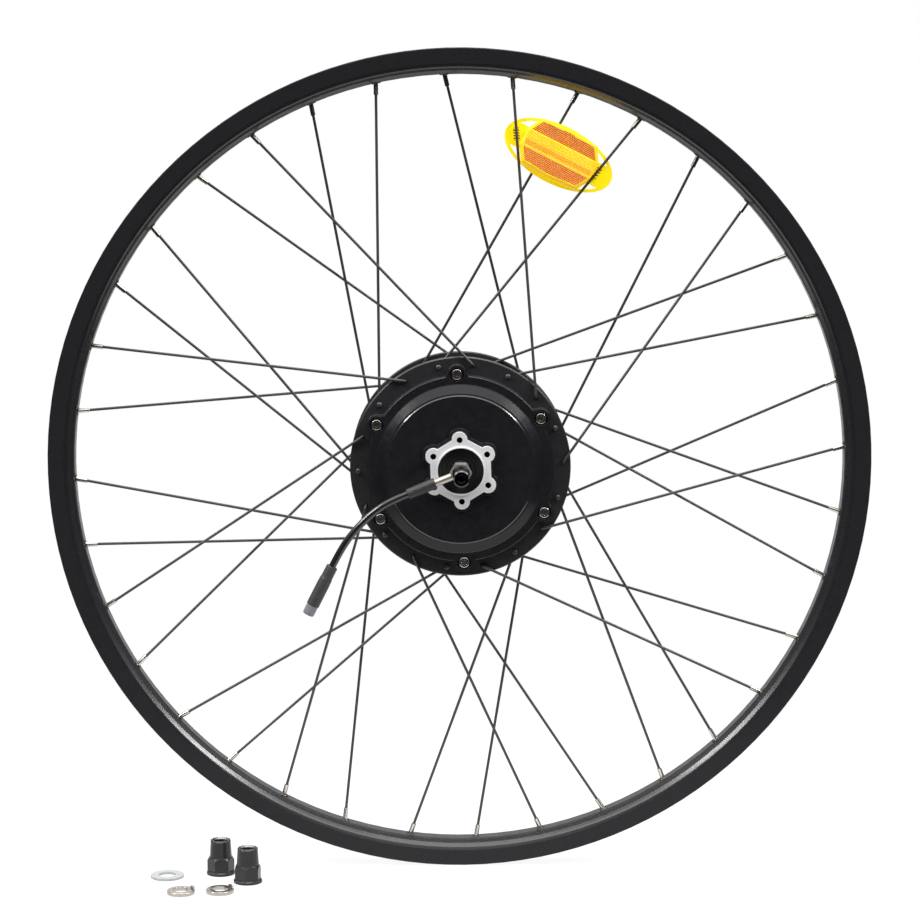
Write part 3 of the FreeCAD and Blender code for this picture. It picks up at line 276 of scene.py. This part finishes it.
class Finish:
    """A node material round one Principled shader, worked out in the object's own metres."""

    def __init__(self, name, **sockets):
        self.material = bpy.data.materials.new(name)
        self.material.use_nodes = True
        self.tree = self.material.node_tree
        self.shader = self.tree.nodes["Principled BSDF"]
        for socket, value in sockets.items():
            self.shader.inputs[socket.replace("_", " ")].default_value = value
        self.where = self.add("ShaderNodeTexCoord").outputs["Object"]

    def add(self, kind, **settings):
        """A new node of a kind, with its settings."""
        node = self.tree.nodes.new(kind)
        for name, value in settings.items():
            setattr(node, name, value)
        return node

    def join(self, source, target):
        """Links an output to an input."""
        self.tree.links.new(source, target)

    def noise(self, cell, detail=4):
        """Cloudy values whose features are about one cell, in mm, across."""
        node = self.add("ShaderNodeTexNoise")
        node.inputs["Scale"].default_value = 1000 / cell
        node.inputs["Detail"].default_value = detail
        node.inputs["Roughness"].default_value = 0.55
        self.join(self.where, node.inputs["Vector"])
        return node.outputs["Fac"]

    def rings(self, pitch, axis):
        """Turning marks round an axis through the material's origin, pitch mm apart."""
        node = self.add("ShaderNodeTexWave", wave_type="RINGS", rings_direction=axis)
        node.inputs["Scale"].default_value = WAVE_SCALE / pitch
        node.inputs["Distortion"].default_value = 0.6
        node.inputs["Detail"].default_value = 3
        self.join(self.where, node.inputs["Vector"])
        return node.outputs["Fac"]

    def bars(self, pitch, axis):
        """Straight stripes across an axis, pitch mm apart."""
        node = self.add("ShaderNodeTexWave", wave_type="BANDS", bands_direction=axis)
        node.inputs["Scale"].default_value = WAVE_SCALE / pitch
        self.join(self.where, node.inputs["Vector"])
        return node.outputs["Fac"]

    def spread(self, value, low, high, start=0.3, stop=0.7):
        """Values from start to stop, spread over low to high."""
        node = self.add("ShaderNodeMapRange")
        for socket, number in (("From Min", start), ("From Max", stop), ("To Min", low), ("To Max", high)):
            node.inputs[socket].default_value = number
        self.join(value, node.inputs["Value"])
        return node.outputs["Result"]

    def blend(self, value, dark, light):
        """A colour between dark and light."""
        node = self.add("ShaderNodeMix", data_type="RGBA")
        self.join(value, node.inputs["Factor"])
        node.inputs["A"].default_value = (*dark, 1)
        node.inputs["B"].default_value = (*light, 1)
        return node.outputs["Result"]

    def colour(self, value, dark, light):
        """Gives the surface a colour between dark and light."""
        self.join(self.blend(value, dark, light), self.shader.inputs["Base Color"])

    def roughness(self, value, low, high):
        """Gives the surface a roughness between low and high."""
        self.join(self.spread(value, low, high), self.shader.inputs["Roughness"])

    def relief(self, height, depth, rounding=0.0):
        """Bumps depth mm high, over edges rounded to a radius of rounding mm."""
        bump = self.add("ShaderNodeBump")
        bump.inputs["Distance"].default_value = depth * MM
        bump.inputs["Strength"].default_value = 1.0
        self.join(height, bump.inputs["Height"])
        if rounding:
            bevel = self.add("ShaderNodeBevel", samples=4)
            bevel.inputs["Radius"].default_value = rounding * MM
            self.join(bevel.outputs["Normal"], bump.inputs["Normal"])
        self.join(bump.outputs["Normal"], self.shader.inputs["Normal"])


def coated(name, dark, light, rough, grain=0.35, depth=0.004, rounding=0.3, uneven=0.06, **sockets):
    """Paint, anodising or moulded plastic: faint mottling, uneven gloss and a fine grain."""
    finish = Finish(name, **sockets)
    finish.colour(finish.noise(9), dark, light)
    finish.roughness(finish.noise(4), rough + 0.01 - uneven, rough + 0.01 + uneven)
    finish.relief(finish.noise(grain, 6), depth, rounding)
    return finish.material


def metal(name, dark, light, rough, pitch=None, depth=0.002, rounding=0.25, metallic=1.0, axis="Y",
          uneven=0.06):
    """Bare or plated metal: tonal drift, uneven polish, and tool marks where it has been turned."""
    finish = Finish(name, Metallic=metallic)
    finish.colour(finish.noise(3), dark, light)
    finish.roughness(finish.noise(1.5), rough + 0.01 - uneven, rough + 0.01 + uneven)
    height = finish.rings(pitch, axis) if pitch else finish.noise(0.6, 6)
    finish.relief(height, depth, rounding)
    return finish.material


rim_black = coated("rim_anodised", (0.018, 0.017, 0.019), (0.024, 0.023, 0.025), 0.27, 0.25, 0.0007,
                   Specular_IOR_Level=0.14)
rim_gloss = coated("rim_shoulder", (0.014, 0.013, 0.015), (0.019, 0.018, 0.020), 0.21, 2.5, 0.0003, 0,
                   0.01, Specular_IOR_Level=1.0)
cast_black = coated("hub_cast_black", (0.009, 0.008, 0.010), (0.015, 0.014, 0.017), 0.29, 0.6, 0.0015,
                    0.35)
shell_black = coated("hub_shell_black", (0.024, 0.022, 0.024), (0.034, 0.032, 0.035), 0.31, 0.6, 0.0015,
                     0.35)
slope_black = coated("cover_slope", (0.009, 0.008, 0.010), (0.015, 0.014, 0.017), 0.24, 0.6, 0.0015, 0.35,
                     Specular_IOR_Level=0.3)
edge_gloss = coated("cover_edge", (0.012, 0.011, 0.013), (0.018, 0.017, 0.020), 0.13, 0.6, 0.0008, 0.2,
                    Specular_IOR_Level=1.0)
spoke_black = coated("spoke_black", (0.045, 0.041, 0.041), (0.065, 0.060, 0.060), 0.34, 3, 0.0004, 0, 0.01)
nut_black = coated("nut_black", (0.014, 0.014, 0.015), (0.028, 0.028, 0.030), 0.24, 0.4, 0.002, 0.3,
                   Specular_IOR_Level=0.35)
jacket = coated("cable_jacket", (0.010, 0.010, 0.011), (0.020, 0.020, 0.021), 0.12, 0.5, 0.001, 0,
                Specular_IOR_Level=0.85)
eyelet_dark = metal("eyelet_dark", (0.05, 0.045, 0.04), (0.13, 0.12, 0.105), 0.26, None, 0.002, 0.15)
shrink = coated("boot_rubber", (0.022, 0.022, 0.024), (0.045, 0.045, 0.047), 0.50, 0.7, 0.05, 0)
plug_black = coated("connector_black", (0.030, 0.030, 0.032), (0.060, 0.060, 0.062), 0.50, 0.6, 0.07, 0)
plug_grey = coated("connector_grey", (0.19, 0.20, 0.22), (0.24, 0.25, 0.27), 0.45, 0.5, 0.003, 0)
seal_black = coated("seal_rubber", (0.008, 0.008, 0.009), (0.016, 0.016, 0.017), 0.5, 0.5, 0.006, 0.2)
nickel = metal("nickel", (0.60, 0.56, 0.50), (0.78, 0.74, 0.68), 0.24, None, 0.0008, 0.1, uneven=0.02)
sleeve_steel = metal("sleeve_steel", (0.50, 0.45, 0.38), (0.66, 0.61, 0.54), 0.42, 0.9, 0.02, axis="X")
zinc = metal("zinc", (0.38, 0.40, 0.39), (0.50, 0.52, 0.51), 0.5, metallic=0.4)
washer_nickel = metal("washer_nickel", (0.40, 0.37, 0.33), (0.62, 0.58, 0.53), 0.24, None, 0.004, 0.35)
# lighter bare metal on the loose nuts' tops: wear, and a painted highlight standing in for glints
worn_and_glint_top = metal("worn_and_glint_top", (0.08, 0.08, 0.085), (0.34, 0.34, 0.35), 0.3, None, 0.004, 0.2)
disc_mount = metal("machined_aluminium", (0.80, 0.80, 0.81), (0.86, 0.86, 0.87), 0.5, 0.8, 0.0006, 0.3, 0.2)
collar_steel = metal("collar_steel", (0.34, 0.33, 0.31), (0.48, 0.47, 0.45), 0.30, None, 0.003, 0.3, 0.45)
# near black for the axle's hexagon socket: painted shade in the recess
socket_painted_shade_black = coated("socket_painted_shade_black", (0.004, 0.004, 0.004), (0.010, 0.010, 0.010), 0.6, 0.4, 0.003, 0)
# a darker grey metal put into the cover screws' sockets: painted shade in the recess
socket_painted_shade_grey = metal("socket_painted_shade_grey", (0.10, 0.10, 0.09), (0.26, 0.25, 0.23), 0.4, None, 0.01, 0.15, 0.5)
dark_steel = metal("axle_steel", (0.05, 0.05, 0.052), (0.10, 0.10, 0.105), 0.20, 0.5)
bearing_steel = metal("bearing_steel", (0.52, 0.52, 0.53), (0.68, 0.68, 0.69), 0.18, 0.4)
bronze = metal("bronze", (0.50, 0.32, 0.14), (0.62, 0.42, 0.20), 0.30, 0.4)
copper = metal("copper", (0.62, 0.26, 0.12), (0.78, 0.36, 0.18), 0.26)
carrier = metal("carrier_aluminium", (0.55, 0.55, 0.56), (0.68, 0.68, 0.69), 0.34, 0.6)
iron = metal("stator_iron", (0.16, 0.16, 0.17), (0.26, 0.26, 0.27), 0.42)
magnet = metal("magnet_nickel", (0.48, 0.48, 0.47), (0.60, 0.60, 0.59), 0.30)
nylon = coated("nylon_gear", (0.55, 0.53, 0.46), (0.68, 0.66, 0.58), 0.42, 0.8, 0.01, 0.2)
board = coated("board", (0.01, 0.12, 0.05), (0.02, 0.20, 0.08), 0.35, 0.6, 0.01, 0.1)
lead_plastic = coated("lead_plastic", (0.30, 0.02, 0.02), (0.42, 0.04, 0.03), 0.38, 0.5, 0.005, 0)


def painted_glow(name, dark, light, glow, grain=0.8, depth=0.01, rounding=0.3):
    """Reflector plastic with an emission glow, painted light that makes it brighter than the light that
    falls on it.
    """
    middle = [(a + b) / 2 for a, b in zip(dark, light)]
    return coated(name, dark, light, 0.30, grain, depth, rounding, Specular_IOR_Level=0.25,
                  Emission_Color=(*middle, 1), Emission_Strength=glow)


# the reflector's wings, lens and prism bands all carry this emission glow, which is painted light
wing_yellow = painted_glow("reflector_yellow", (0.88, 0.66, 0.0), (0.96, 0.80, 0.01), 0.42)
lens_amber = painted_glow("reflector_amber", (0.95, 0.55, 0.01), (1.0, 0.70, 0.03), 0.40, 1.2, 0.05)
prism_dark = painted_glow("prism_dark", (0.44, 0.10, 0.0), (0.84, 0.25, 0.0), 0.25, rounding=0)
prism_warm = painted_glow("prism_warm", (0.85, 0.28, 0.0), (0.98, 0.44, 0.01), 0.35, rounding=0)
prism_bright = painted_glow("prism_bright", (0.90, 0.46, 0.0), (1.0, 0.64, 0.02), 0.40, rounding=0)


def toothed():
    """The yellow clips, with painted shade in the gaps between their teeth along the spoke that they grip,
    and an emission glow that is painted light.
    """
    finish = Finish("reflector_clip", Roughness=0.3)
    tooth_gaps_shaded = finish.spread(finish.bars(1.9, "Z"), 0, 1, 0.35, 0.5)
    # the dark brown in the gaps between teeth is painted shade
    colour = finish.blend(tooth_gaps_shaded, (0.22, 0.05, 0.0), (0.92, 0.74, 0.01))
    finish.join(colour, finish.shader.inputs["Base Color"])
    # the clip glows by emission: painted light
    finish.join(colour, finish.shader.inputs["Emission Color"])
    finish.shader.inputs["Emission Strength"].default_value = 0.3
    finish.relief(tooth_gaps_shaded, 0.3)
    return finish.material


clip_toothed = toothed()

FINISHES = {
    rim_black: ("rim",),
    cast_black: ("side_cover",),
    shell_black: ("hub_shell",),
    spoke_black: ("spokes_far_outside", "spokes_near_outside", "spokes_far_inside", "spokes_near_inside"),
    nickel: ("spoke_nipples", "cover_screws"),
    eyelet_dark: ("rim_eyelets",),
    washer_nickel: ("tab_washer_disc_side", "tab_washer_drive_side"),
    zinc: ("plain_washer",),
    nut_black: ("axle_nut_disc_side", "axle_nut_drive_side", "drive_side_lock_nut"),
    collar_steel: ("hex_collar",),
    dark_steel: ("axle", "disc_side_spacer", "clutch_spacer", "drive_side_spacer", "drive_side_washer"),
    seal_black: ("cover_gasket", "disc_side_seal", "drive_side_seal"),
    bearing_steel: ("cover_bearing_outer_ring", "cover_bearing_inner_ring", "drive_bearing_outer_ring",
                    "drive_bearing_inner_ring", "rotor_bearing_outer_ring", "rotor_bearing_inner_ring",
                    "bearing_balls", "planet_pins", "planet_thrust_washers", "clutch_inner_race",
                    "clutch_rollers", "sun_gear", "ring_gear"),
    bronze: ("sun_bush", "planet_bushes"),
    nylon: ("planet_gear_1", "planet_gear_2", "planet_gear_3"),
    carrier: ("planet_carrier", "stator_carrier"),
    iron: ("stator_core", "rotor_can"),
    copper: ("stator_coils", "connector_pins"),
    magnet: ("rotor_magnets",),
    board: ("hall_sensor_board",),
    lead_plastic: ("phase_leads",),
    sleeve_steel: ("cable_sleeve",),
    jacket: ("motor_cable",),
    shrink: ("strain_relief_boot",),
    plug_black: ("connector_body",),
    plug_grey: ("connector_nose",),
    wing_yellow: ("reflector_backing",),
    clip_toothed: ("reflector_clips",),
    lens_amber: ("reflector_lens",),
}
for finish, names in FINISHES.items():
    for name in names:
        nodes[name].data.materials.clear()
        nodes[name].data.materials.append(finish)
for piece, finish in ((lead, jacket), (boot, shrink), (plug, plug_black), (nose, plug_grey),
                      (prism_pieces["dark"], prism_dark), (prism_pieces["warm"], prism_warm),
                      (prism_pieces["bright"], prism_bright)):
    piece.data.materials.append(finish)

FLOOR = -0.298


def second_finish(name, finish, chosen):
    """Gives another finish to the faces of a node whose middles the test picks."""
    mesh = nodes[name].data
    mesh.materials.append(finish)
    number = len(mesh.materials) - 1
    for face in mesh.polygons:
        if chosen(face.center):
            face.material_index = number


def round_axle(radius, degrees):
    """A point at that radius and angle round the axle, in the wheel's middle plane."""
    turn = math.radians(degrees)
    return Vector((radius * MM * math.cos(turn), 0, radius * MM * math.sin(turn)))


def from_line(point, line):
    """How far a point is from a line along the axle's direction."""
    return math.hypot(point.x - line.x, point.z - line.z)


AXLE_LINE = Vector((0, 0, 0))
DISC_HOLE_CIRCLE = 22
SCREW_CIRCLE = 67.6
FIRST_HOLE = 32.2
DISC_HOLES = [round_axle(DISC_HOLE_CIRCLE, FIRST_HOLE + 60 * i) for i in range(6)]
HOLE_RADIUS = 2.2 * MM
STAR_FLOOR = -48.0 * MM
RECESS = 16.35 * MM
SCREWS = [round_axle(SCREW_CIRCLE, FIRST_HOLE + 60 * i) for i in range(6)]
SCREW_SOCKET = (-41.1 * MM, -39.5 * MM, 2.05 * MM)
AXLE_SOCKET = (-96.9 * MM, -90 * MM, 3 * MM)
RIM_SHOULDER = (280.4 * MM, 286.6 * MM, 6 * MM)
COVER_TOP = -45.3 * MM
COVER_EDGE = (52.2 * MM, 53.4 * MM)
COVER_SHOULDER = -41.5 * MM
COVER_SLOPE = (54.4 * MM, 60.2 * MM)
NUT_TOP = (24.0 * MM, 25.4 * MM)


def bare_star(point):
    """The machined star and register ring stand out of the painted cover in bare metal."""
    in_hole = any(from_line(point, hole) < HOLE_RADIUS for hole in DISC_HOLES)
    return point.y < STAR_FLOOR and from_line(point, AXLE_LINE) > RECESS and not in_hole


def in_screw_socket(point):
    """The inside of a cover screw's socket, painted a darker grey as shade in the recess."""
    top, bottom, radius = SCREW_SOCKET
    return top < point.y < bottom and any(from_line(point, line) < radius for line in SCREWS)


def in_axle_socket(point):
    """The hexagon socket in the axle's disc side end, but not the end face round it, painted near black as
    shade.
    """
    mouth, bottom, radius = AXLE_SOCKET
    return mouth < point.y < bottom and from_line(point, AXLE_LINE) < radius


def on_rim_shoulder(point):
    """The rounded shoulders between the rim's bed and its flat sides."""
    inner, outer, side = RIM_SHOULDER
    return inner < from_line(point, AXLE_LINE) < outer and abs(point.y) > side


def on_cover_edge(point):
    """The narrow bevel round the cover's plateau."""
    inner, outer = COVER_EDGE
    return point.y < COVER_TOP and inner < from_line(point, AXLE_LINE) < outer


def on_cover_slope(point):
    """The slope from the cover's shoulder down to its lip."""
    inner, outer = COVER_SLOPE
    return COVER_TOP < point.y < COVER_SHOULDER and inner < from_line(point, AXLE_LINE) < outer


def nut_top(point):
    """The notched top of a loose nut, in lighter bare metal: wear, and a painted highlight for its glints.
    """
    low, high = NUT_TOP
    return low < point.z - FLOOR < high


second_finish("rim", rim_gloss, on_rim_shoulder)
second_finish("side_cover", disc_mount, bare_star)
second_finish("side_cover", edge_gloss, on_cover_edge)
second_finish("side_cover", slope_black, on_cover_slope)
second_finish("cover_screws", socket_painted_shade_grey, in_screw_socket)
second_finish("axle", socket_painted_shade_black, in_axle_socket)
second_finish("axle_nut_disc_side", worn_and_glint_top, nut_top)
second_finish("axle_nut_drive_side", worn_and_glint_top, nut_top)

# ---------------------------------------------------------------- floor and light

SKY_TOP = 2.4
SKY_BACK = 0.9
FLOOR_RADIUS = 0.5
FLOOR_GAP = 0.2 * MM


def floor():
    """A pale round of paper just under the wheel."""
    mesh = bpy.data.meshes.new("floor")
    bm = bmesh.new()
    bmesh.ops.create_circle(bm, cap_ends=True, segments=96, radius=FLOOR_RADIUS)
    bm.to_mesh(mesh)
    bm.free()
    obj = bpy.data.objects.new("floor", mesh)
    obj.location.z = FLOOR - FLOOR_GAP
    scene.collection.objects.link(obj)
    paper = Finish("floor_paper", Specular_IOR_Level=0.1, Emission_Color=(1, 1, 1, 1),
                   Emission_Strength=0.93)
    paper.colour(paper.noise(60), (0.07, 0.07, 0.07), (0.09, 0.09, 0.09))
    paper.roughness(paper.noise(20), 0.8, 0.9)
    mesh.materials.append(paper.material)


def sky():
    """A white surround, which lights the object from above and is dim round the horizon and below."""
    world = bpy.data.worlds.new("studio")
    scene.world = world
    world.use_nodes = True
    tree = world.node_tree

    def add(kind, **settings):
        """A new node of a kind, with its settings."""
        node = tree.nodes.new(kind)
        for name, value in settings.items():
            setattr(node, name, value)
        return node

    way = add("ShaderNodeSeparateXYZ")
    tree.links.new(add("ShaderNodeTexCoord").outputs["Generated"], way.inputs["Vector"])
    glow = add("ShaderNodeMath", operation="MAXIMUM")
    fades = (("Z", 0.25, 0.95, 0.01, SKY_TOP, 0), ("Y", 0.55, 0.9, 0, SKY_BACK, 1))
    for axis, start, stop, dim, bright, socket in fades:
        fade = add("ShaderNodeMapRange", interpolation_type="SMOOTHSTEP")
        for name, number in (("From Min", start), ("From Max", stop), ("To Min", dim), ("To Max", bright)):
            fade.inputs[name].default_value = number
        tree.links.new(way.outputs[axis], fade.inputs["Value"])
        tree.links.new(fade.outputs["Result"], glow.inputs[socket])
    seen = add("ShaderNodeMix", data_type="FLOAT")
    tree.links.new(add("ShaderNodeLightPath").outputs["Is Camera Ray"], seen.inputs["Factor"])
    tree.links.new(glow.outputs["Value"], seen.inputs["A"])
    seen.inputs["B"].default_value = 1.0
    background = tree.nodes["Background"]
    background.inputs["Color"].default_value = (1, 1, 1, 1)
    tree.links.new(seen.outputs["Result"], background.inputs["Strength"])


def softbox(name, place, target, width, height, power):
    """A lamp of that size and power in watts, aimed at its target."""
    light = bpy.data.lights.new(name, "AREA")
    light.shape = "RECTANGLE"
    light.size, light.size_y, light.energy = width, height, power
    obj = bpy.data.objects.new(name, light)
    obj.location = place
    obj.rotation_euler = (Vector(place) - Vector(target)).to_track_quat("Z", "Y").to_euler()
    scene.collection.objects.link(obj)


floor()
sky()
softbox("upper_left", (-1.95, -0.85, 1.75), (0, 0, 0), 0.7, 0.7, 36)
softbox("upper_right", (1.95, -0.85, 1.75), (0, 0, 0), 0.7, 0.7, 36)
softbox("overhead", (0, -0.1, 2.6), (0, 0, -0.3), 1.6, 1.2, 22)
scene.view_settings.view_transform = "Standard"

bpy.context.view_layer.update()
